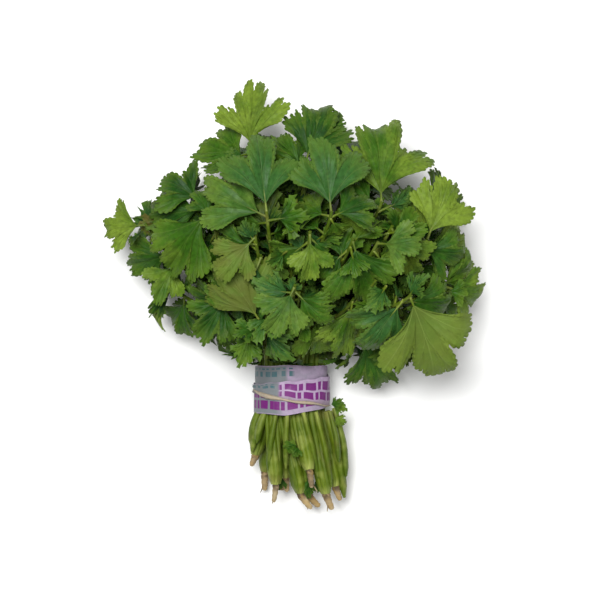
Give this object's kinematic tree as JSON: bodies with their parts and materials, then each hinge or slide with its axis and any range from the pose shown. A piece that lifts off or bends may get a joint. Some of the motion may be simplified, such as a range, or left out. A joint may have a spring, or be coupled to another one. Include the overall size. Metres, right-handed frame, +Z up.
{
  "type": "coriander bunch",
  "caption": "Bunch of fresh coriander lying on its side: leafy plants with lobed, toothed leaves and cut roots, held at the neck by a wound label strip.",
  "frame": {"origin": "middle of the bounding box on the surface the bunch lies on", "axes": "+Y along the bunch from the cut roots to the leaf tips, +Z up from the surface, +X to the right seen from above with the leaves away"},
  "size_m": [0.242, 0.2708, 0.1024],
  "materials": {
    "foliage": "satin",
    "tap_root": "matte",
    "label_strip": "satin"
  },
  "bodies": {
    "root": {"plant_01": "foliage", "plant_02": "foliage", "plant_03": "foliage", "plant_04": "foliage", "plant_05": "foliage", "plant_06": "foliage", "plant_07": "foliage", "plant_08": "foliage", "plant_09": "foliage", "plant_10": "foliage", "plant_11": "foliage", "plant_12": "foliage", "plant_13": "foliage", "root_01": "tap_root", "root_02": "tap_root", "root_03": "tap_root", "root_04": "tap_root", "root_05": "tap_root", "root_06": "tap_root", "root_07": "tap_root", "root_08": "tap_root", "root_09": "tap_root", "root_10": "tap_root", "root_11": "tap_root", "root_12": "tap_root", "root_13": "tap_root", "label_strip": "label_strip"}
  },
  "joints": []
}
